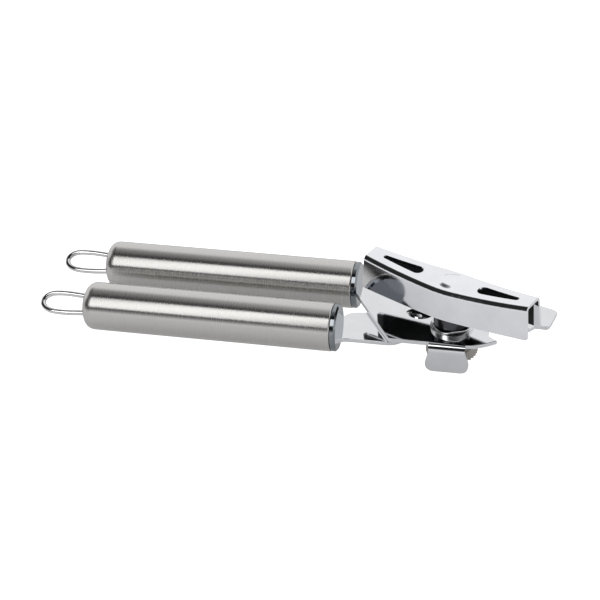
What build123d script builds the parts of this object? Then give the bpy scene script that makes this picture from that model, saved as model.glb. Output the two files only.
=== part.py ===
from build123d import *
from math import cos, radians, sin, tan
import os

os.makedirs("parts", exist_ok=True)

# A pliers-type can opener lying flat: handles along -X, cutting head at +X, turning key on top.
# Sizes are in millimetres. Head positions are measured from the key axis, where it leaves the
# top face of the rear arm. The origin is the bottom centre of the whole opener's box.
key_axis_x = 63.02
key_axis_y = -8.44
arm_top_z = 13.6

# Arms: two crossing steel plates, the rear arm's plate lying on the front arm's.
plate_thickness = 1.6
plate_gap = 0.2
plate_edge_round = 0.25
rear_plate_bottom = -plate_thickness
front_plate_top = rear_plate_bottom - plate_gap
front_plate_bottom = front_plate_top - plate_thickness

# Handles
handle_radius = 9.5
tube_wall = 0.8
front_handle_y = -5.2
rear_handle_y = 25.9
handle_z = rear_plate_bottom - plate_gap / 2
front_cap_face_x = -43.0
rear_cap_face_x = -40.8
tube_back_x = -145.1
tube_round = 4.2
tube_lip_round = 0.5

# Tail plug: a collar inside the tube and a narrower nose that shows at the tube's rounded end
tail_nose_radius = 4.9
tail_nose_length = 0.8
tail_nose_dome = 0.2
tail_nose_round = 0.5
tail_seam = 0.12
tail_collar_length = 8.0

# Polished end cap at the head end of each handle
cap_flange_thickness = 2.0
cap_seam = 0.28
cap_flange_radius = 9.3
cap_chamfer = 0.7
cap_barrel_radius = handle_radius - tube_wall
cap_barrel_length = 14.0
tang_half_width = 5.5
tang_length = 24.0
tang_pin_radius = 1.25
tang_pin_depth = 8.6

# Hanging loops
wire_radius = 1.1
loop_tip_x = -164.35
loop_tilt = 30.0
loop_bend_length = 6.0
loop_half_width = 4.1
loop_root_half_width = 3.6
loop_buried_x = -138.0

# Pivot
pivot_x = -13.5
pivot_y = 9.5
pivot_pin_radius = 3.0
pivot_head_radius = 5.8
pivot_head_height = 1.9
pivot_head_rim = 0.4
pivot_clearance = 0.05
pivot_washer_radius = 6.2
pivot_washer_thickness = 0.6
pivot_tail_height = 1.3
pivot_tail_radius = 4.8
pivot_tail_chamfer = 0.6

# Bent tab of the rear arm, which leans on the can
tab_outer_y = -13.8
tab_bottom = -11.9
tab_top_width = 14.0
tab_wide_width = 16.6
tab_bend_radius = 3.2
tab_corner_radius = 3.0
tab_wide_height = -8.0
tab_root_length = 1.2

# Drive: key, hub, shaft and feed wheel turn together
shaft_radius = 4.0
shaft_clearance = 0.05
shaft_bottom = -12.6
shaft_chamfer = 0.4
bushing_radius = 5.2
bushing_flange_radius = 5.9
bushing_bottom = -4.0
thrust_washer_radius = 8.3
thrust_washer_top = 0.9
thrust_washer_clearance = 0.2
wave_washer_radius = 7.8
wave_washer_bottom = 0.95
wave_washer_top = 2.5
hub_radius = 7.0
hub_chamfer = 0.35
hub_step = 7.0
hub_neck_radius = 6.4
hub_neck_chamfer = 0.9
feed_wheel_radius = 10.0
feed_wheel_top = -4.2
feed_wheel_step = -6.2
feed_wheel_bottom = -10.7
feed_collar_radius = 9.1
feed_teeth = 36
feed_groove_side = 1.05
nut_radius = 5.8
nut_bottom = -12.3

# Turning key: an upside-down channel, widest in the middle, its top dished along its length
key_angle = -21.9
key_half_length = 36.8
key_mid_half_width = 8.2
key_end_half_width = 5.0
key_wall = 1.2
key_off_centre = -0.8
key_middle_top = 20.5
key_end_top = 23.1
key_middle_bottom = 8.2
key_end_bottom = 9.2
key_flange_splay = 3.5
key_bend_radius = 1.9
key_middle_blend = 60.0
key_corner_round = 1.6
boss_radius = 6.2
boss_top_radius = 2.8
boss_height = 0.8
slot_inner_u = 14.6
slot_outer_u = 28.4
slot_inner_radius = 2.5
slot_outer_radius = 1.1
tenon_radius = 3.0

# Cutting wheel on its stud under the front arm
cutter_x = 0.0
cutter_y = 18.0
cutter_radius = 9.0
cutter_flat_radius = 6.9
cutter_top = -11.05
cutter_bottom = -12.45
cutter_edge_land = 0.12
cutter_clearance = 0.05
stud_radius = 2.5
stud_head_radius = 3.2
stud_head_height = 1.1
sleeve_radius = 4.3
sleeve_bottom = -10.85
cutter_cap_top = -12.65
cutter_cap_bottom = -13.6
cutter_cap_radius = 4.4
cutter_cap_chamfer = 0.3

# Outlines of the arms' plates
arm_shoulder = 8.7
near_edge_y = -11.8
near_corner_x = -22.6


def level(height, x=0.0, y=0.0):
    """Horizontal work plane at a height over the rear arm's top face, centred on a head point."""
    return Plane(origin=(key_axis_x + x, key_axis_y + y, arm_top_z + height))


def upright(x=0.0, y=0.0):
    """Vertical work plane through a head point: local x is +X, local y is height."""
    return Plane(origin=(key_axis_x + x, key_axis_y + y, arm_top_z), x_dir=(1, 0, 0), z_dir=(0, -1, 0))


def vertical_axis(x=0.0, y=0.0):
    """Upright axis through a head point."""
    return Axis((key_axis_x + x, key_axis_y + y, arm_top_z), (0, 0, 1))


def handle_plane(handle_y):
    """Horizontal plane through a handle's axis: local x is +X, local y is the radius."""
    return level(handle_z, 0, handle_y)


def handle_axis(handle_y):
    """Lengthwise axis of a handle."""
    return Axis((key_axis_x, key_axis_y + handle_y, arm_top_z + handle_z), (1, 0, 0))


def save(part, node):
    """Label a finished piece and write it to its own file."""
    part.label = node
    export_step(part, f"parts/{node}.step")


def shoulder_points(inset):
    """Rounded end of a handle's tube, moved in by an inset: side point, middle point, end point."""
    centre_x = tube_back_x + tube_round
    centre_radius = handle_radius - tube_round
    reach = tube_round - inset
    diagonal = reach * cos(radians(45))
    side = (centre_x, centre_radius + reach)
    middle = (centre_x - diagonal, centre_radius + diagonal)
    return side, middle, (centre_x - reach, centre_radius)


def disc(top, bottom, radius, bore, x=0.0, y=0.0):
    """Flat ring between two heights, round a vertical axis."""
    with BuildPart() as ring:
        with BuildSketch(level(bottom, x, y)):
            Circle(radius)
            Circle(bore, mode=Mode.SUBTRACT)
        extrude(amount=top - bottom)
    return ring.part


def make_tube(handle_y, cap_face_x):
    """Drawn steel tube with a rounded back end, open for the tail plug and the end cap."""
    tube_front_x = cap_face_x - cap_flange_thickness - cap_seam
    inner_radius = handle_radius - tube_wall
    bore_radius = tail_nose_radius + tail_seam
    outer = shoulder_points(0)
    inner = shoulder_points(tube_wall)
    lip_start = (tube_front_x, handle_radius - tube_lip_round)
    lip_end = (tube_front_x - tube_lip_round, handle_radius)
    with BuildPart() as tube:
        with BuildSketch(handle_plane(handle_y)):
            with BuildLine():
                Line((tube_front_x, inner_radius), lip_start)
                RadiusArc(lip_start, lip_end, -tube_lip_round)
                Line(lip_end, outer[0])
                ThreePointArc(*outer)
                Polyline(outer[2], (outer[2][0], bore_radius), (inner[2][0], bore_radius), inner[2])
                ThreePointArc(inner[2], inner[1], inner[0])
                Line(inner[0], (tube_front_x, inner_radius))
            make_face()
        revolve(axis=handle_axis(handle_y))
    return tube.part


def loop_plane(handle_y):
    """Tilted plane of a hanging loop: local x is +X, local y runs up and away over the handle."""
    tilt = radians(loop_tilt)
    origin = (key_axis_x, key_axis_y + handle_y, arm_top_z + handle_z)
    return Plane(origin=origin, x_dir=(1, 0, 0), z_dir=(0, -sin(tilt), cos(tilt)))


def make_loop(handle_y):
    """Bent wire loop whose two legs are held in the tail plug."""
    tip_x = loop_tip_x + wire_radius
    bend_x = tip_x + loop_bend_length
    slope = (loop_half_width - loop_root_half_width) / (tube_back_x - bend_x)
    buried_half_width = loop_root_half_width - slope * (loop_buried_x - tube_back_x)
    leg_points = [(loop_buried_x, buried_half_width), (tube_back_x, loop_root_half_width)]
    bend_points = [
        (bend_x - loop_bend_length * sin(radians(turn)), loop_half_width * cos(radians(turn)))
        for turn in range(0, 181, 30)
    ]
    other_leg_points = [(x, -y) for x, y in reversed(leg_points)]
    plane = loop_plane(handle_y)
    with BuildPart() as loop:
        with BuildLine(plane) as path:
            Spline(*leg_points, *bend_points, *other_leg_points)
        start = plane.origin + plane.x_dir * loop_buried_x + plane.y_dir * buried_half_width
        leg = plane.x_dir * (bend_x - loop_buried_x) + plane.y_dir * (loop_half_width - buried_half_width)
        with BuildSketch(Plane(origin=start, z_dir=leg)):
            Circle(wire_radius)
        sweep(path=path.line)
    return loop.part


def make_tail_plug(handle_y, loop_part):
    """Plug that closes the tube's rounded end and grips both legs of the loop."""
    tip_x = tube_back_x - tail_nose_length
    dome_end = (tip_x + tail_nose_dome, tail_nose_radius - tail_nose_round)
    nose_end = (dome_end[0] + tail_nose_round, tail_nose_radius)
    dome_radius = (dome_end[1] ** 2 + tail_nose_dome**2) / (2 * tail_nose_dome)
    collar_x = tube_back_x + tube_round
    collar_radius = handle_radius - tube_wall
    collar_end_x = collar_x + tail_collar_length
    with BuildPart() as plug:
        with BuildSketch(handle_plane(handle_y)):
            with BuildLine():
                RadiusArc((tip_x, 0), dome_end, dome_radius)
                RadiusArc(dome_end, nose_end, tail_nose_round)
                Polyline(
                    nose_end,
                    (collar_x, tail_nose_radius),
                    (collar_x, collar_radius),
                    (collar_end_x, collar_radius),
                    (collar_end_x, 0),
                    (tip_x, 0),
                )
            make_face()
        revolve(axis=handle_axis(handle_y))
        add(loop_part, mode=Mode.SUBTRACT)
    return plug.part


def make_end_cap(handle_y, cap_face_x, plate_middle):
    """Turned plug with a polished face, slotted for the arm's tang and bored for its pin."""
    cap_flange_back_x = cap_face_x - cap_flange_thickness
    barrel_back_x = cap_flange_back_x - cap_barrel_length
    with BuildPart() as cap:
        with BuildSketch(handle_plane(handle_y)):
            with BuildLine():
                Polyline(
                    (cap_face_x, 0),
                    (cap_face_x, cap_flange_radius - cap_chamfer),
                    (cap_face_x - cap_chamfer, cap_flange_radius),
                    (cap_flange_back_x, cap_flange_radius),
                    (cap_flange_back_x, cap_barrel_radius),
                    (barrel_back_x, cap_barrel_radius),
                    (barrel_back_x, 0),
                    close=True,
                )
            make_face()
        revolve(axis=handle_axis(handle_y))
        slot_length = cap_face_x - barrel_back_x
        with BuildSketch(level(plate_middle - plate_thickness / 2, cap_face_x - slot_length / 2, handle_y)):
            Rectangle(slot_length + 1, tang_half_width * 2)
        extrude(amount=plate_thickness, mode=Mode.SUBTRACT)
        with BuildSketch(level(handle_z, cap_face_x - tang_pin_depth, handle_y)):
            Circle(tang_pin_radius)
        extrude(amount=handle_radius, both=True, mode=Mode.SUBTRACT)
    return cap.part


def make_tang_pin(handle_y, cap_face_x):
    """Cross pin that locks the arm's tang in the end cap."""
    half_length = (cap_barrel_radius**2 - tang_pin_radius**2) ** 0.5
    with BuildPart() as pin:
        with BuildSketch(level(handle_z, cap_face_x - tang_pin_depth, handle_y)):
            Circle(tang_pin_radius)
        extrude(amount=half_length, both=True)
    return pin.part


for side_name, handle_y, cap_face_x, plate_bottom in (
    ("front", front_handle_y, front_cap_face_x, front_plate_bottom),
    ("rear", rear_handle_y, rear_cap_face_x, rear_plate_bottom),
):
    plate_middle = plate_bottom + plate_thickness / 2
    loop_part = make_loop(handle_y)
    save(make_tube(handle_y, cap_face_x), f"{side_name}_handle_tube")
    save(loop_part, f"{side_name}_hanging_loop")
    save(make_tail_plug(handle_y, loop_part), f"{side_name}_tail_plug")
    save(make_end_cap(handle_y, cap_face_x, plate_middle), f"{side_name}_end_cap")
    save(make_tang_pin(handle_y, cap_face_x), f"{side_name}_tang_pin")


def round_plate_edges(plate, cap_face_x):
    """Round off a plate's upper outline, its die-roll side, where it is outside its handle."""
    outside_x = key_axis_x + cap_face_x + plate_edge_round
    upper_face = plate.faces().sort_by(Axis.Z)[-1]
    fillet(upper_face.edges().filter_by(lambda edge: edge.center().X > outside_x), plate_edge_round)


def tang_points(handle_y, cap_face_x):
    """Root of an arm inside its handle, from the far corner of the shoulder to the near one."""
    return [
        (cap_face_x, handle_y + arm_shoulder),
        (cap_face_x, handle_y + tang_half_width),
        (cap_face_x - tang_length, handle_y + tang_half_width),
        (cap_face_x - tang_length, handle_y - tang_half_width),
        (cap_face_x, handle_y - tang_half_width),
        (cap_face_x, handle_y - arm_shoulder),
    ]


# Bent tab: flat plate, quarter turn, then straight down; it widens a little towards its round corners.
bend_start_y = tab_outer_y + tab_bend_radius
tab_inner_y = tab_outer_y + plate_thickness
tab_root_y = bend_start_y + tab_root_length
tab_section = Plane(
    origin=(key_axis_x - tab_wide_width, key_axis_y, arm_top_z), x_dir=(0, 1, 0), z_dir=(1, 0, 0)
)
with BuildPart() as tab:
    with BuildSketch(tab_section):
        with BuildLine():
            Line((tab_root_y, 0), (bend_start_y, 0))
            RadiusArc((bend_start_y, 0), (tab_outer_y, -tab_bend_radius), -tab_bend_radius)
            Line((tab_outer_y, -tab_bend_radius), (tab_outer_y, tab_bottom))
            Line((tab_outer_y, tab_bottom), (tab_inner_y, tab_bottom))
            Line((tab_inner_y, tab_bottom), (tab_inner_y, -tab_bend_radius))
            RadiusArc(
                (tab_inner_y, -tab_bend_radius),
                (bend_start_y, -plate_thickness),
                tab_bend_radius - plate_thickness,
            )
            Line((bend_start_y, -plate_thickness), (tab_root_y, -plate_thickness))
            Line((tab_root_y, -plate_thickness), (tab_root_y, 0))
        make_face()
    extrude(amount=tab_wide_width * 2)
    with BuildSketch(upright(0, tab_root_y)):
        with BuildLine():
            Polyline(
                (-tab_top_width / 2, 0),
                (-tab_top_width / 2, -tab_bend_radius),
                (-tab_wide_width / 2, tab_wide_height),
                (-tab_wide_width / 2, tab_bottom),
                (tab_wide_width / 2, tab_bottom),
                (tab_wide_width / 2, tab_wide_height),
                (tab_top_width / 2, -tab_bend_radius),
                (tab_top_width / 2, 0),
                close=True,
            )
        tab_outline = make_face()
        fillet(tab_outline.vertices().group_by(Axis.Y)[0], tab_corner_radius)
    extrude(amount=tab_root_y - tab_outer_y, mode=Mode.INTERSECT)

# Rear arm: the near edge runs down to the jaw that carries the key and the bent tab.
with BuildPart() as rear_arm:
    with BuildSketch(level(rear_plate_bottom)):
        with BuildLine():
            root = tang_points(rear_handle_y, rear_cap_face_x)
            Polyline(*root)
            Line(root[-1], (near_corner_x, near_edge_y))
            Line((near_corner_x, near_edge_y), (6.6, near_edge_y))
            Spline((6.6, near_edge_y), (13.0, -10.2), (18.3, -6.8), tangents=[(1, 0), (0.75, 0.55)])
            Line((18.3, -6.8), (14.9, -4.1))
            Spline((14.9, -4.1), (14.2, 1.0), (8.0, 9.2), tangents=[(-0.35, 1), (-0.9, 0.45)])
            Spline((8.0, 9.2), (-10.0, 19.6), (-34.0, 33.2), tangents=[(-0.9, 0.45), (-0.9, 0.4)])
            Spline((-34.0, 33.2), root[0], tangents=[(-0.9, 0.4), (-1, 0.05)])
        make_face()
    extrude(amount=plate_thickness)
    round_plate_edges(rear_arm, rear_cap_face_x)
    with BuildSketch(level(rear_plate_bottom, 0, near_edge_y)):
        Rectangle(tab_top_width, (bend_start_y - near_edge_y) * 2)
    extrude(amount=plate_thickness, mode=Mode.SUBTRACT)
    with Locations(level(0, pivot_x, pivot_y)):
        Hole(pivot_pin_radius, plate_thickness)
    with Locations(level(0)):
        Hole(bushing_radius, plate_thickness)
    with Locations(level(0, rear_cap_face_x - tang_pin_depth, rear_handle_y)):
        Hole(tang_pin_radius, plate_thickness)
    add(tab.part)
save(rear_arm.part, "rear_arm")

# Front arm: it passes under the rear arm at the pivot to the jaw that carries the cutting wheel.
with BuildPart() as front_arm:
    with BuildSketch(level(front_plate_bottom)):
        with BuildLine():
            root = tang_points(front_handle_y, front_cap_face_x)
            Polyline(*root)
            Spline(root[-1], (-41.0, -12.6), (-37.0, near_edge_y), tangents=[(1, 0.5), (1, 0)])
            Line((-37.0, near_edge_y), (-24.0, near_edge_y))
            Spline((-24.0, near_edge_y), (-15.5, -6.5), (-9.6, 0.6), tangents=[(1, 0), (0.45, 1)])
            Spline((-9.6, 0.6), (-4.6, 6.9), (4.0, 8.6), tangents=[(0.45, 1), (1, 0)])
            Spline((4.0, 8.6), (16.0, 7.2), (29.0, 5.7), tangents=[(1, 0), (1, 0)])
            Line((29.0, 5.7), (31.0, 8.4))
            Line((31.0, 8.4), (35.2, 8.2))
            Spline((35.2, 8.2), (36.6, 10.0), (38.3, 18.6), tangents=[(1, 0.2), (0.2, 1)])
            Spline((38.3, 18.6), (37.6, 20.0), (32.4, 22.3), tangents=[(0.1, 1), (-0.95, 0.45)])
            Spline((32.4, 22.3), (18.0, 26.2), (1.0, 27.5), tangents=[(-0.95, 0.45), (-1, 0)])
            Spline((1.0, 27.5), (-16.0, 19.5), (-34.4, 7.3), tangents=[(-1, 0), (-1, -0.35)])
            Spline((-34.4, 7.3), (-41.6, 5.0), root[0], tangents=[(-1, -0.25), (-1, -0.6)])
        make_face()
    extrude(amount=plate_thickness)
    round_plate_edges(front_arm, front_cap_face_x)
    with Locations(level(front_plate_top, pivot_x, pivot_y)):
        Hole(pivot_pin_radius + pivot_clearance, plate_thickness)
    with Locations(level(front_plate_top, cutter_x, cutter_y)):
        Hole(stud_radius, plate_thickness)
    with Locations(level(front_plate_top, front_cap_face_x - tang_pin_depth, front_handle_y)):
        Hole(tang_pin_radius, plate_thickness)
save(front_arm.part, "front_arm")

# Pivot rivet: domed head on the rear arm, shank through both arms, washer and closed end below.
pivot_washer_top = front_plate_bottom - plate_gap / 2
pivot_washer_bottom = pivot_washer_top - pivot_washer_thickness
pivot_tail_bottom = pivot_washer_bottom - pivot_tail_height
head_dome = pivot_head_height - pivot_head_rim
head_curve = (pivot_head_radius**2 + head_dome**2) / (2 * head_dome)
with BuildPart() as pivot_rivet:
    with BuildSketch(upright(pivot_x, pivot_y)):
        with BuildLine():
            Line((0, pivot_head_height), (0, pivot_tail_bottom))
            Line((0, pivot_tail_bottom), (pivot_tail_radius - pivot_tail_chamfer, pivot_tail_bottom))
            Line((pivot_tail_radius - pivot_tail_chamfer, pivot_tail_bottom), (pivot_tail_radius, pivot_washer_bottom))
            Line((pivot_tail_radius, pivot_washer_bottom), (pivot_pin_radius, pivot_washer_bottom))
            Line((pivot_pin_radius, pivot_washer_bottom), (pivot_pin_radius, 0))
            Line((pivot_pin_radius, 0), (pivot_head_radius, 0))
            Line((pivot_head_radius, 0), (pivot_head_radius, pivot_head_rim))
            RadiusArc((pivot_head_radius, pivot_head_rim), (0, pivot_head_height), -head_curve)
        make_face()
    revolve(axis=vertical_axis(pivot_x, pivot_y))
save(pivot_rivet.part, "pivot_rivet")
pivot_washer = disc(
    pivot_washer_top, pivot_washer_bottom, pivot_washer_radius, pivot_pin_radius, pivot_x, pivot_y
)
save(pivot_washer, "pivot_washer")

# Flanged bushing pressed into the rear arm; the drive shaft runs in it.
with BuildPart() as shaft_bushing:
    with BuildSketch(upright()):
        with BuildLine():
            Polyline(
                (shaft_radius + shaft_clearance, 0),
                (bushing_radius, 0),
                (bushing_radius, rear_plate_bottom),
                (bushing_flange_radius, rear_plate_bottom),
                (bushing_flange_radius, bushing_bottom),
                (shaft_radius + shaft_clearance, bushing_bottom),
                close=True,
            )
        make_face()
    revolve(axis=vertical_axis())
save(shaft_bushing.part, "shaft_bushing")
save(disc(thrust_washer_top, 0, thrust_washer_radius, shaft_radius + thrust_washer_clearance), "thrust_washer")
save(disc(wave_washer_top, wave_washer_bottom, wave_washer_radius, shaft_radius), "wave_washer")

# Drive shaft with a tenon that is peened into the key's raised boss.
key_underside = key_middle_top - key_wall
with BuildPart() as drive_shaft:
    with BuildSketch(upright()):
        with BuildLine():
            Polyline(
                (0, shaft_bottom),
                (shaft_radius - shaft_chamfer, shaft_bottom),
                (shaft_radius, shaft_bottom + shaft_chamfer),
                (shaft_radius, key_underside),
                (tenon_radius, key_underside),
                (tenon_radius, key_middle_top),
                (0, key_middle_top),
                close=True,
            )
        make_face()
    revolve(axis=vertical_axis())
save(drive_shaft.part, "drive_shaft")

with BuildPart() as key_hub:
    with BuildSketch(upright()):
        with BuildLine():
            Polyline(
                (shaft_radius, wave_washer_top),
                (hub_radius - hub_chamfer, wave_washer_top),
                (hub_radius, wave_washer_top + hub_chamfer),
                (hub_radius, hub_step),
                (hub_neck_radius, hub_step),
                (hub_neck_radius, key_underside - hub_neck_chamfer),
                (hub_neck_radius - hub_neck_chamfer, key_underside),
                (shaft_radius, key_underside),
                close=True,
            )
        make_face()
    revolve(axis=vertical_axis())
save(key_hub.part, "key_hub")


# Turning key
key_direction = Vector(cos(radians(key_angle)), sin(radians(key_angle)), 0)
key_centre = Vector(key_axis_x, key_axis_y, arm_top_z) + key_direction * key_off_centre
key_plane = Plane(origin=key_centre, x_dir=key_direction, z_dir=(0, 0, 1))
key_side_plane = Plane(origin=key_centre, x_dir=key_direction, z_dir=key_direction.cross(Vector(0, 0, 1)))


def bow(middle, end, half_length):
    """Height at the ends of a lengthwise arc that rises from the key's middle to its stated ends."""
    radius = (key_half_length**2 + (end - middle) ** 2) / (2 * (end - middle))
    return middle + radius - (radius**2 - half_length**2) ** 0.5


def key_channel(inset, extra_length):
    """Solid block of the key's outline, its sides moved in and its top lowered by an inset."""
    half_length = key_half_length + extra_length
    slope = (key_mid_half_width - key_end_half_width) / key_half_length
    mid_width = key_mid_half_width - inset + key_middle_top * tan(radians(key_flange_splay))
    end_width = mid_width - slope * half_length
    mid_top = key_middle_top - inset
    end_top = bow(mid_top, key_end_top - inset, half_length)
    mid_bottom = key_middle_bottom - inset
    end_bottom = bow(mid_bottom, key_end_bottom - inset, half_length)
    with BuildPart() as block:
        with BuildSketch(key_plane):
            with BuildLine():
                Polyline(
                    (0, -mid_width),
                    (half_length, -end_width),
                    (half_length, end_width),
                    (0, mid_width),
                    (-half_length, end_width),
                    (-half_length, -end_width),
                    close=True,
                )
            outline = make_face()
            fillet(outline.vertices().sort_by(SortBy.DISTANCE)[:2], key_middle_blend)
        extrude(amount=key_end_top + boss_radius, taper=key_flange_splay)
        with BuildSketch(key_side_plane):
            with BuildLine():
                ThreePointArc((-half_length, end_top), (0, mid_top), (half_length, end_top))
                Line((half_length, end_top), (half_length, end_bottom))
                ThreePointArc((half_length, end_bottom), (0, mid_bottom), (-half_length, end_bottom))
                Line((-half_length, end_bottom), (-half_length, end_top))
            side_view = make_face()
            fillet(side_view.vertices().group_by(Axis.Y)[0], key_corner_round)
        extrude(amount=mid_width * 2, both=True, mode=Mode.INTERSECT)
        long_edges = block.faces().sort_by(Axis.Z)[-1].edges().filter_by(GeomType.LINE, reverse=True)
        fillet(long_edges, key_bend_radius - inset)
    return block.part


boss_foot = key_middle_top - key_wall / 2
outer_block = key_channel(0, 0)
inner_block = key_channel(key_wall, 2)
with BuildPart() as turning_key:
    add(outer_block)
    add(inner_block, mode=Mode.SUBTRACT)
    with BuildSketch(upright()):
        with BuildLine():
            Polyline((0, key_middle_top + boss_height), (0, boss_foot), (boss_radius, boss_foot))
            Line((boss_radius, boss_foot), (boss_radius, key_middle_top))
            Spline(
                (boss_radius, key_middle_top),
                (boss_top_radius, key_middle_top + boss_height),
                tangents=[(-1, 0), (-1, 0)],
            )
            Line((boss_top_radius, key_middle_top + boss_height), (0, key_middle_top + boss_height))
        make_face()
    revolve(axis=vertical_axis())
    with BuildSketch(level(key_underside)):
        Circle(tenon_radius)
    extrude(amount=key_wall, mode=Mode.SUBTRACT)
    for direction in (-1, 1):
        with BuildSketch(key_plane):
            with Locations((direction * slot_inner_u, 0)):
                Circle(slot_inner_radius)
            with Locations((direction * slot_outer_u, 0)):
                Circle(slot_outer_radius)
            make_hull()
        extrude(amount=key_end_top * 2, mode=Mode.SUBTRACT)
save(turning_key.part, "turning_key")

# Feed wheel: a plain collar over a toothed rim that grips under the can's bead.
with BuildPart() as feed_wheel:
    with BuildSketch(level(feed_wheel_bottom)):
        Circle(feed_wheel_radius)
        Circle(shaft_radius, mode=Mode.SUBTRACT)
        with PolarLocations(feed_wheel_radius, feed_teeth):
            Rectangle(feed_groove_side, feed_groove_side, rotation=45, mode=Mode.SUBTRACT)
    extrude(amount=feed_wheel_step - feed_wheel_bottom)
    with BuildSketch(level(feed_wheel_step)):
        Circle(feed_collar_radius)
        Circle(shaft_radius, mode=Mode.SUBTRACT)
    extrude(amount=feed_wheel_top - feed_wheel_step)
save(feed_wheel.part, "feed_wheel")

with BuildPart() as wheel_nut:
    with BuildSketch(level(nut_bottom)):
        RegularPolygon(nut_radius, 6)
        Circle(shaft_radius, mode=Mode.SUBTRACT)
    extrude(amount=feed_wheel_bottom - nut_bottom)
save(wheel_nut.part, "wheel_nut")

# Cutting wheel: a disc ground to an edge at its upper face, loose on the stud.
cutter_bore = stud_radius + cutter_clearance
with BuildPart() as cutting_wheel:
    with BuildSketch(upright(cutter_x, cutter_y)):
        with BuildLine():
            Polyline(
                (cutter_bore, cutter_top),
                (cutter_radius, cutter_top),
                (cutter_radius, cutter_top - cutter_edge_land),
                (cutter_flat_radius, cutter_bottom),
                (cutter_bore, cutter_bottom),
                close=True,
            )
        make_face()
    revolve(axis=vertical_axis(cutter_x, cutter_y))
save(cutting_wheel.part, "cutting_wheel")

with BuildPart() as cutter_stud:
    with BuildSketch(upright(cutter_x, cutter_y)):
        with BuildLine():
            Line((0, cutter_cap_bottom), (0, front_plate_top + stud_head_height))
            ThreePointArc(
                (0, front_plate_top + stud_head_height),
                (stud_head_radius * 0.6, front_plate_top + stud_head_height * 0.8),
                (stud_head_radius, front_plate_top),
            )
            Line((stud_head_radius, front_plate_top), (stud_radius, front_plate_top))
            Line((stud_radius, front_plate_top), (stud_radius, cutter_cap_bottom))
            Line((stud_radius, cutter_cap_bottom), (0, cutter_cap_bottom))
        make_face()
    revolve(axis=vertical_axis(cutter_x, cutter_y))
save(cutter_stud.part, "cutter_stud")
save(
    disc(front_plate_bottom, sleeve_bottom, sleeve_radius, stud_radius, cutter_x, cutter_y), "cutter_sleeve"
)
with BuildPart() as cutter_cap:
    with BuildSketch(level(cutter_cap_bottom, cutter_x, cutter_y)):
        Circle(cutter_cap_radius)
        Circle(stud_radius, mode=Mode.SUBTRACT)
    extrude(amount=cutter_cap_top - cutter_cap_bottom)
    chamfer(cutter_cap.edges().group_by(Axis.Z)[0].sort_by(SortBy.RADIUS)[-1], cutter_cap_chamfer)
save(cutter_cap.part, "cutter_cap")
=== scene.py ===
import math

import bpy
from mathutils import Matrix, Vector


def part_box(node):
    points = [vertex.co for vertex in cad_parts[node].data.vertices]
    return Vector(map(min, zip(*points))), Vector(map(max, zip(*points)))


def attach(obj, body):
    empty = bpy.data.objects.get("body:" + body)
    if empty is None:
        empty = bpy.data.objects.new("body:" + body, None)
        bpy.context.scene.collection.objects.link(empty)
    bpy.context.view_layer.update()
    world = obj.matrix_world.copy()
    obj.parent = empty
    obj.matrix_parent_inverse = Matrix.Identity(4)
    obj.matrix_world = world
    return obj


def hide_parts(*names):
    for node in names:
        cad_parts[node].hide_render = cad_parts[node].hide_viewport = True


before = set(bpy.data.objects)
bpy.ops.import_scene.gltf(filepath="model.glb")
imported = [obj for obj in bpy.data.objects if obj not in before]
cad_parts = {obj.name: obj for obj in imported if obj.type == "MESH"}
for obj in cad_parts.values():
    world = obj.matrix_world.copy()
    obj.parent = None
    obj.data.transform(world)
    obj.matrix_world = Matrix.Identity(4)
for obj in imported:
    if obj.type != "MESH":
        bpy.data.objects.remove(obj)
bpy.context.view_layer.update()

# Camera: it looks at the opener from the front and above. Distances are in metres, angles in
# radians, and the lens and sensor in millimetres.
CAMERA_AZIMUTH = math.radians(14.04)
CAMERA_ELEVATION = math.radians(33.13)
CAMERA_ROLL = math.radians(-2.73)
CAMERA_TARGET = Vector((0.00541, -0.01558, 0.02442))
CAMERA_DISTANCE = 0.74491
CAMERA_LENS = 116.68
CAMERA_SENSOR = 36.0
CAMERA_NEAR = 0.01

# Walls of the studio tent: grey levels along a weighted direction, as (position, level) pairs
BEHIND_WEIGHTS = (-0.8, 0, 0.8)
BEHIND_STOPS = [(0.0, 1.0), (0.83, 1.0), (0.9, 0.35), (0.96, 0.13), (1.0, 0.03)]
BACK_WALL_WEIGHTS = (0, 0, 1)
BACK_WALL_STOPS = [(0.0, 1.0), (0.6, 1.0), (0.7, 0.0)]
FRONT_WEIGHTS = (-0.3, 0, 1)
FRONT_STOPS = [(0.0, 0.95), (0.16, 0.9), (0.3, 0.3), (0.42, 0.02)]
TENT_DEPTH_WEIGHTS = (0, 1, 0)
TENT_BLEND = 0.15
TENT_STRENGTH = 0.96

# Softbox in front, above and to the left
SOFTBOX_PLACE = (-0.34, -0.72, 0.86)
SOFTBOX_WIDTH = 0.42
SOFTBOX_HEIGHT = 0.9
SOFTBOX_RADIANCE = 2.4

# Floor: it lights the opener softly, and the camera sees it brighter than white
FLOOR_SIZE = 8
FLOOR_COLOUR = (0.84, 0.84, 0.85)
FLOOR_ROUGHNESS = 0.9
FLOOR_GLOW = 0.22
FLOOR_GLOW_SEEN = 1.1

# Middle of the range that a noise takes, which is stretched to the range that is wanted
NOISE_LOW = 0.3
NOISE_HIGH = 0.7

# Brushed handle tubes
TUBE_DARK = (0.55, 0.54, 0.525)
TUBE_LIGHT = (0.61, 0.60, 0.585)
TUBE_STREAKS_PER_METRE = 4200
TUBE_RINGS_PER_METRE = 700
TUBE_NOISE_DETAIL = 2
TUBE_ROUGHNESS = (0.255, 0.275)
TUBE_ANISOTROPY = 0.7
TUBE_ANISOTROPY_TURN = 0.25
TUBE_RING_DEPTH = 0.00001
TUBE_RING_STRENGTH = 0.3

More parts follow.
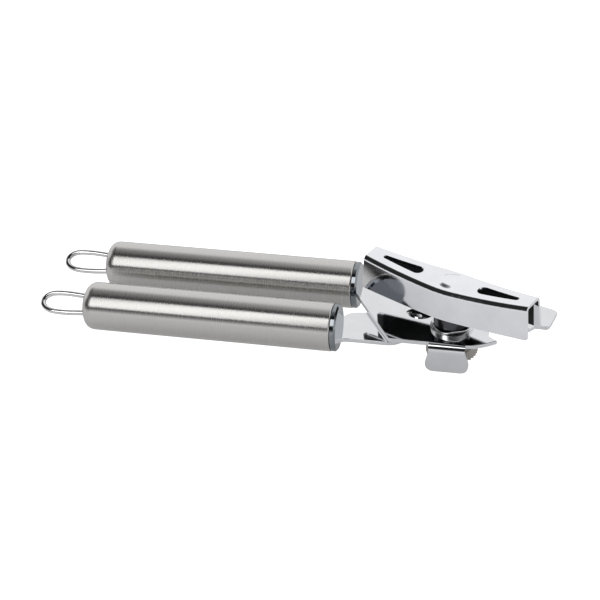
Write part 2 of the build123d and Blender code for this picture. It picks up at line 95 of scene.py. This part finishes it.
# Polished metal: cloudy smudges and a slow waviness of the surface
SMUDGES_PER_METRE = 90
SMUDGE_DETAIL = 4
SMUDGE_NOISE_ROUGHNESS = 0.6
SMUDGE_SHADE = 0.93
SMUDGE_DULLNESS = 0.06
WAVES_PER_METRE = 35
WAVE_DETAIL = 1
WAVE_DEPTH = 0.00003
WAVE_STRENGTH = 1.0

# Steel finishes, and the painted dark reflections of the caps and hub: colour, least roughness and the CAD
# nodes that have them
STEEL_FINISHES_AND_PAINTED_DARK = {
    "satin_plug": ((0.80, 0.79, 0.78), 0.08, ("front_tail_plug", "rear_tail_plug")),
    "polished_wire": ((0.74, 0.74, 0.75), 0.08, ("front_hanging_loop", "rear_hanging_loop")),
    # Caps: colour set far darker than polished steel, a painted dark reflection standing in for the dim
    # surroundings their faces mirror
    "polished_cap": ((0.27, 0.29, 0.31), 0.04, ("front_end_cap", "rear_end_cap")),
    "polished_plate": ((0.76, 0.77, 0.79), 0.03, ("front_arm", "rear_arm")),
    "polished_rivet": ((0.80, 0.81, 0.83), 0.05, ("pivot_rivet",)),
    "bright_washer": ((0.86, 0.86, 0.87), 0.22, ("thrust_washer",)),
    # Near-black colour: a painted dark reflection on the hub, which mirrors dim surroundings under the
    # key; the bushing, shaft and cutter pieces share it
    "dark_steel": ((0.10, 0.10, 0.11), 0.2, (
        "shaft_bushing", "key_hub", "drive_shaft", "cutter_stud", "cutter_sleeve", "cutter_cap",
    )),
    "feed_steel": ((0.46, 0.44, 0.41), 0.3, ("feed_wheel", "wheel_nut")),
    "cutter_steel": ((0.55, 0.55, 0.56), 0.2, ("cutting_wheel",)),
    "hidden_steel": ((0.50, 0.50, 0.50), 0.3, ("pivot_washer", "front_tang_pin", "rear_tang_pin")),
}

# Turning key: the size and bend of its sheet, in metres, as the CAD part has them
KEY_ANGLE = math.radians(-21.9)
KEY_OFF_CENTRE = -0.0008
KEY_HALF_LENGTH = 0.0368
KEY_MIDDLE_HALF_WIDTH = 0.0082
KEY_END_HALF_WIDTH = 0.0050
KEY_RISE = 0.0026
KEY_HALF_WALL = 0.0006
KEY_SPLAY_ANGLE = math.radians(3.5)

# The same sheet, as the slopes that its material works with
KEY_HALF_WIDTH = KEY_MIDDLE_HALF_WIDTH - KEY_HALF_WALL
KEY_TAPER = -(KEY_MIDDLE_HALF_WIDTH - KEY_END_HALF_WIDTH) / KEY_HALF_LENGTH
KEY_SPLAY = -math.tan(KEY_SPLAY_ANGLE)
KEY_BOW = KEY_RISE / KEY_HALF_LENGTH**2

# Turning key: its plated outside, and painted shade inside its channel (a near-black colour standing in
# for the dark reflections there), which stops short of the open ends
KEY_COLOUR = (0.88, 0.885, 0.92)
KEY_ROUGHNESS = 0.04
KEY_PAINTED_SHADE_COLOUR = (0.035, 0.035, 0.037)
KEY_INSIDE_ROUGHNESS = 0.5
KEY_PAINTED_SHADE_HALF_LENGTH = 0.0335

# Wavy washer
WASHER_STEPS = 120
WASHER_WAVES = 4
WASHER_SHEET = 0.0007
WASHER_BORE = 0.00405
WASHER_MARGIN = 0.0003
WASHER_BEVEL = WASHER_SHEET / 4
WASHER_BEVEL_SEGMENTS = 2


def camera_axes():
    """Right, up and backward directions of the camera."""
    back = Vector((
        math.sin(CAMERA_AZIMUTH) * math.cos(CAMERA_ELEVATION),
        -math.cos(CAMERA_AZIMUTH) * math.cos(CAMERA_ELEVATION),
        math.sin(CAMERA_ELEVATION),
    ))
    level_right = Vector((math.cos(CAMERA_AZIMUTH), math.sin(CAMERA_AZIMUTH), 0))
    level_up = back.cross(level_right)
    right = level_right * math.cos(CAMERA_ROLL) + level_up * math.sin(CAMERA_ROLL)
    return right, back.cross(right), back


def link(name, data):
    """New object in the scene."""
    new = bpy.data.objects.new(name, data)
    bpy.context.scene.collection.objects.link(new)
    return new


def add_camera():
    """Camera with its roll, and no shift or depth of field."""
    right, up, back = camera_axes()
    data = bpy.data.cameras.new("studio_camera")
    data.lens = CAMERA_LENS
    data.sensor_width = CAMERA_SENSOR
    data.clip_start = CAMERA_NEAR
    camera = link("studio_camera", data)
    rotation = Matrix((right, up, back)).transposed().to_4x4()
    camera.matrix_world = Matrix.Translation(CAMERA_TARGET + back * CAMERA_DISTANCE) @ rotation
    bpy.context.scene.camera = camera


def ramp_node(nodes, stops):
    """Colour ramp of grey levels; stops are (position, level)."""
    ramp = nodes.new("ShaderNodeValToRGB")
    elements = ramp.color_ramp.elements
    while len(elements) < len(stops):
        elements.new(0.5)
    for element, (position, level) in zip(elements, stops):
        element.position = position
        element.color = (level, level, level, 1)
    return ramp


def feed(links, value, socket):
    """Give a socket its value: another socket's output or a constant."""
    if isinstance(value, bpy.types.NodeSocket):
        links.new(value, socket)
    else:
        socket.default_value = value


def math_node(nodes, links, operation, first, second=None):
    """One step of arithmetic on sockets or numbers."""
    node = nodes.new("ShaderNodeMath")
    node.operation = operation
    feed(links, first, node.inputs[0])
    if second is not None:
        feed(links, second, node.inputs[1])
    return node.outputs[0]


def mix_node(nodes, links, data_type, factor, first, second):
    """Blend from first to second, which are sockets or constants, by a factor socket."""
    mix = nodes.new("ShaderNodeMix")
    mix.data_type = data_type
    links.new(factor, mix.inputs["Factor"])
    feed(links, first, mix.inputs["A"])
    feed(links, second, mix.inputs["B"])
    return mix.outputs["Result"]


def weighted(nodes, links, source, weights):
    """Dot product of a vector socket with fixed weights."""
    dot = nodes.new("ShaderNodeVectorMath")
    dot.operation = "DOT_PRODUCT"
    dot.inputs[1].default_value = weights
    links.new(source, dot.inputs[0])
    return dot.outputs["Value"]


def tent_wall(nodes, links, direction, weights, stops):
    """Grey level of a tent wall, by a weighted direction."""
    ramp = ramp_node(nodes, stops)
    links.new(weighted(nodes, links, direction, weights), ramp.inputs["Fac"])
    return ramp.outputs["Color"]


def add_world():
    """Studio tent: bright behind and low down all round, dark above that in front and high on the left."""
    world = bpy.data.worlds.new("studio_tent")
    bpy.context.scene.world = world
    world.use_nodes = True
    nodes = world.node_tree.nodes
    links = world.node_tree.links
    background = nodes["Background"]
    direction = nodes.new("ShaderNodeTexCoord").outputs["Generated"]
    behind = tent_wall(nodes, links, direction, BEHIND_WEIGHTS, BEHIND_STOPS)
    back_wall = tent_wall(nodes, links, direction, BACK_WALL_WEIGHTS, BACK_WALL_STOPS)
    back = math_node(nodes, links, "MAXIMUM", behind, back_wall)
    front = tent_wall(nodes, links, direction, FRONT_WEIGHTS, FRONT_STOPS)
    depth = nodes.new("ShaderNodeMapRange")
    depth.interpolation_type = "SMOOTHSTEP"
    depth.inputs["From Min"].default_value = -TENT_BLEND
    depth.inputs["From Max"].default_value = TENT_BLEND
    links.new(weighted(nodes, links, direction, TENT_DEPTH_WEIGHTS), depth.inputs["Value"])
    level = mix_node(nodes, links, "RGBA", depth.outputs["Result"], front, back)
    links.new(level, background.inputs["Color"])
    background.inputs["Strength"].default_value = TENT_STRENGTH


def add_softbox():
    """Long area light that faces the origin, with its power worked out from its radiance."""
    data = bpy.data.lights.new("front_softbox", "AREA")
    data.shape = "RECTANGLE"
    data.size = SOFTBOX_WIDTH
    data.size_y = SOFTBOX_HEIGHT
    data.energy = SOFTBOX_RADIANCE * SOFTBOX_WIDTH * SOFTBOX_HEIGHT * math.pi
    light = link("front_softbox", data)
    light.location = SOFTBOX_PLACE
    light.rotation_euler = Vector(SOFTBOX_PLACE).to_track_quat("Z", "Y").to_euler()


def new_material(name):
    """Empty node material: its nodes, its links and its Principled shader."""
    material = bpy.data.materials.new(name)
    material.use_nodes = True
    nodes = material.node_tree.nodes
    return material, nodes, material.node_tree.links, nodes["Principled BSDF"]


def add_floor():
    """Pale paper floor that the camera sees burnt out to white."""
    material, nodes, links, shader = new_material("floor_paper")
    shader.inputs["Base Color"].default_value = (*FLOOR_COLOUR, 1)
    shader.inputs["Roughness"].default_value = FLOOR_ROUGHNESS
    shader.inputs["Specular IOR Level"].default_value = 0.0
    shader.inputs["Emission Color"].default_value = (1, 1, 1, 1)
    seen = nodes.new("ShaderNodeLightPath").outputs["Is Camera Ray"]
    glow = nodes.new("ShaderNodeMapRange")
    glow.inputs["To Min"].default_value = FLOOR_GLOW
    glow.inputs["To Max"].default_value = FLOOR_GLOW_SEEN
    links.new(seen, glow.inputs["Value"])
    links.new(glow.outputs["Result"], shader.inputs["Emission Strength"])
    bpy.ops.mesh.primitive_plane_add(size=FLOOR_SIZE)
    floor = bpy.context.object
    floor.name = "floor"
    floor.data.materials.append(material)


def noise_node(nodes, links, per_metre, detail, roughness=0.5):
    """Noise over object coordinates, with so many cells to a metre."""
    coordinates = nodes.new("ShaderNodeTexCoord")
    mapping = nodes.new("ShaderNodeMapping")
    mapping.inputs["Scale"].default_value = (per_metre, per_metre, per_metre)
    links.new(coordinates.outputs["Object"], mapping.inputs["Vector"])
    noise = nodes.new("ShaderNodeTexNoise")
    noise.inputs["Scale"].default_value = 1.0
    noise.inputs["Detail"].default_value = detail
    noise.inputs["Roughness"].default_value = roughness
    links.new(mapping.outputs["Vector"], noise.inputs["Vector"])
    return noise.outputs["Fac"]


def ring_noise(nodes, links, per_metre):
    """Noise that changes only along a tube, so it draws rings round it."""
    noise = nodes.new("ShaderNodeTexNoise")
    noise.noise_dimensions = "1D"
    noise.inputs["Scale"].default_value = 1.0
    noise.inputs["Detail"].default_value = TUBE_NOISE_DETAIL
    place = nodes.new("ShaderNodeTexCoord").outputs["Object"]
    links.new(weighted(nodes, links, place, (per_metre, 0, 0)), noise.inputs["W"])
    return noise.outputs["Fac"]


def map_to(nodes, links, noise, low, high):
    """Stretch the middle of a noise's range to a range of its own."""
    node = nodes.new("ShaderNodeMapRange")
    node.inputs["From Min"].default_value = NOISE_LOW
    node.inputs["From Max"].default_value = NOISE_HIGH
    node.inputs["To Min"].default_value = low
    node.inputs["To Max"].default_value = high
    links.new(noise, node.inputs["Value"])
    return node.outputs["Result"]


def tint(nodes, links, noise, dark, light):
    """Blend between two colours by a noise."""
    factor = map_to(nodes, links, noise, 0, 1)
    return mix_node(nodes, links, "RGBA", factor, (*dark, 1), (*light, 1))


def add_bump(nodes, links, noise, shader, distance, strength):
    """Raise a surface by a noise."""
    bump = nodes.new("ShaderNodeBump")
    bump.inputs["Distance"].default_value = distance
    bump.inputs["Strength"].default_value = strength
    links.new(noise, bump.inputs["Height"])
    links.new(bump.outputs["Normal"], shader.inputs["Normal"])


def brushed_tube_material():
    """Satin steel, brushed round the tube, whose own axis is X."""
    material, nodes, links, shader = new_material("satin_tube")
    shader.inputs["Metallic"].default_value = 1.0
    shader.inputs["Anisotropic"].default_value = TUBE_ANISOTROPY
    shader.inputs["Anisotropic Rotation"].default_value = TUBE_ANISOTROPY_TURN
    streaks = ring_noise(nodes, links, TUBE_STREAKS_PER_METRE)
    rings = ring_noise(nodes, links, TUBE_RINGS_PER_METRE)
    links.new(tint(nodes, links, streaks, TUBE_DARK, TUBE_LIGHT), shader.inputs["Base Color"])
    links.new(map_to(nodes, links, streaks, *TUBE_ROUGHNESS), shader.inputs["Roughness"])
    add_bump(nodes, links, rings, shader, TUBE_RING_DEPTH, TUBE_RING_STRENGTH)
    round_tube = nodes.new("ShaderNodeVectorMath")
    round_tube.operation = "CROSS_PRODUCT"
    round_tube.inputs[1].default_value = (1, 0, 0)
    links.new(nodes.new("ShaderNodeTexCoord").outputs["Normal"], round_tube.inputs[0])
    turn = nodes.new("ShaderNodeVectorTransform")
    turn.vector_type = "VECTOR"
    turn.convert_from = "OBJECT"
    turn.convert_to = "WORLD"
    links.new(round_tube.outputs["Vector"], turn.inputs["Vector"])
    links.new(turn.outputs["Vector"], shader.inputs["Tangent"])
    return material


def polished_material(name, colour, roughness):
    """Plated or polished steel with faint smudges and a slight waviness."""
    material, nodes, links, shader = new_material(name)
    shader.inputs["Metallic"].default_value = 1.0
    smudges = noise_node(nodes, links, SMUDGES_PER_METRE, SMUDGE_DETAIL, SMUDGE_NOISE_ROUGHNESS)
    waviness = noise_node(nodes, links, WAVES_PER_METRE, WAVE_DETAIL)
    darker = tuple(level * SMUDGE_SHADE for level in colour)
    links.new(tint(nodes, links, smudges, darker, colour), shader.inputs["Base Color"])
    dull = map_to(nodes, links, smudges, roughness, roughness + SMUDGE_DULLNESS)
    links.new(dull, shader.inputs["Roughness"])
    add_bump(nodes, links, waviness, shader, WAVE_DEPTH, WAVE_STRENGTH)
    return material


def channel_shade_mask(nodes, links):
    """Socket that is 1 under the key's sheet and between its flanges, short of its ends, or else 0; it
    masks the key's painted shade.
    """

    def calculate(operation, first, second=None):
        return math_node(nodes, links, operation, first, second)

    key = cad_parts["turning_key"]
    to_object = key.matrix_world.inverted()
    low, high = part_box("drive_shaft")
    shaft_top = Vector(((low[0] + high[0]) / 2, (low[1] + high[1]) / 2, high[2]))
    along = Vector((math.cos(KEY_ANGLE), math.sin(KEY_ANGLE), 0))
    sideways = Vector((-along[1], along[0], 0))
    offset = nodes.new("ShaderNodeVectorMath")
    offset.operation = "SUBTRACT"
    offset.inputs[1].default_value = to_object @ (shaft_top + along * KEY_OFF_CENTRE)
    links.new(nodes.new("ShaderNodeTexCoord").outputs["Object"], offset.inputs[0])
    place = offset.outputs["Vector"]
    turn = to_object.to_3x3()
    length = weighted(nodes, links, place, turn @ along)
    across = weighted(nodes, links, place, turn @ sideways)
    height = weighted(nodes, links, place, turn @ Vector((0, 0, 1)))

    bow = calculate("MULTIPLY", calculate("POWER", length, 2.0), KEY_BOW)
    depth = calculate("SUBTRACT", calculate("SUBTRACT", bow, height), KEY_HALF_WALL)
    distance = calculate("ABSOLUTE", length)
    taper = calculate("MULTIPLY", distance, KEY_TAPER)
    splay = calculate("MULTIPLY", height, KEY_SPLAY)
    half_width = calculate("ADD", calculate("ADD", taper, splay), KEY_HALF_WIDTH)
    between_flanges = calculate("GREATER_THAN", half_width, calculate("ABSOLUTE", across))
    under_sheet = calculate("GREATER_THAN", depth, 0.0)
    short_of_ends = calculate("LESS_THAN", distance, KEY_PAINTED_SHADE_HALF_LENGTH)
    return calculate("MULTIPLY", calculate("MULTIPLY", between_flanges, under_sheet), short_of_ends)


def key_material():
    """Plated outside, with painted shade inside the channel (a near-black colour, also rougher), told
    apart by place on the key.
    """
    material = polished_material("polished_key", KEY_COLOUR, KEY_ROUGHNESS)
    nodes = material.node_tree.nodes
    links = material.node_tree.links
    shader = nodes["Principled BSDF"]
    # Painted shade: inside the channel the colour turns near-black, standing in for the dark reflections
    # there
    inside = channel_shade_mask(nodes, links)
    for data_type, name, value in (
        ("RGBA", "Base Color", (*KEY_PAINTED_SHADE_COLOUR, 1)),
        ("FLOAT", "Roughness", KEY_INSIDE_ROUGHNESS),
    ):
        socket = shader.inputs[name]
        outside = socket.links[0].from_socket
        links.new(mix_node(nodes, links, data_type, inside, outside, value), socket)
    return material


def add_wavy_washer(material):
    """Spring washer with four waves, in the space that the flat CAD ring keeps for it."""
    low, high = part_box("wave_washer")
    centre = ((low[0] + high[0]) / 2, (low[1] + high[1]) / 2, (low[2] + high[2]) / 2)
    outer = (high[0] - low[0]) / 2 - WASHER_MARGIN
    swing = (high[2] - low[2] - WASHER_SHEET) / 2
    points = []
    faces = []
    for step in range(WASHER_STEPS):
        angle = 2 * math.pi * step / WASHER_STEPS
        wave = swing * math.sin(WASHER_WAVES * angle)
        for radius, side in ((WASHER_BORE, -1), (outer, -1), (outer, 1), (WASHER_BORE, 1)):
            points.append((
                centre[0] + radius * math.cos(angle),
                centre[1] + radius * math.sin(angle),
                centre[2] + wave + side * WASHER_SHEET / 2,
            ))
        here = 4 * step
        there = 4 * ((step + 1) % WASHER_STEPS)
        for corner in range(4):
            after = (corner + 1) % 4
            faces.append((here + corner, there + corner, there + after, here + after))
    mesh = bpy.data.meshes.new("wavy_washer")
    mesh.from_pydata(points, [], faces)
    mesh.materials.append(material)
    washer = link("wavy_washer", mesh)
    bevel = washer.modifiers.new("edges", "BEVEL")
    bevel.width = WASHER_BEVEL
    bevel.segments = WASHER_BEVEL_SEGMENTS
    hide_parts("wave_washer")
    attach(washer, "key_drive")


def dress(material, *node_names):
    """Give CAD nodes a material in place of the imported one."""
    for node_name in node_names:
        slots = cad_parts[node_name].data.materials
        slots.clear()
        slots.append(material)


add_camera()
add_world()
add_softbox()
add_floor()
bpy.context.scene.view_settings.view_transform = "Standard"

dress(brushed_tube_material(), "front_handle_tube", "rear_handle_tube")
dress(key_material(), "turning_key")
for steel_look, (colour, roughness, node_names) in STEEL_FINISHES_AND_PAINTED_DARK.items():
    dress(polished_material(steel_look, colour, roughness), *node_names)
add_wavy_washer(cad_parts["thrust_washer"].data.materials[0])
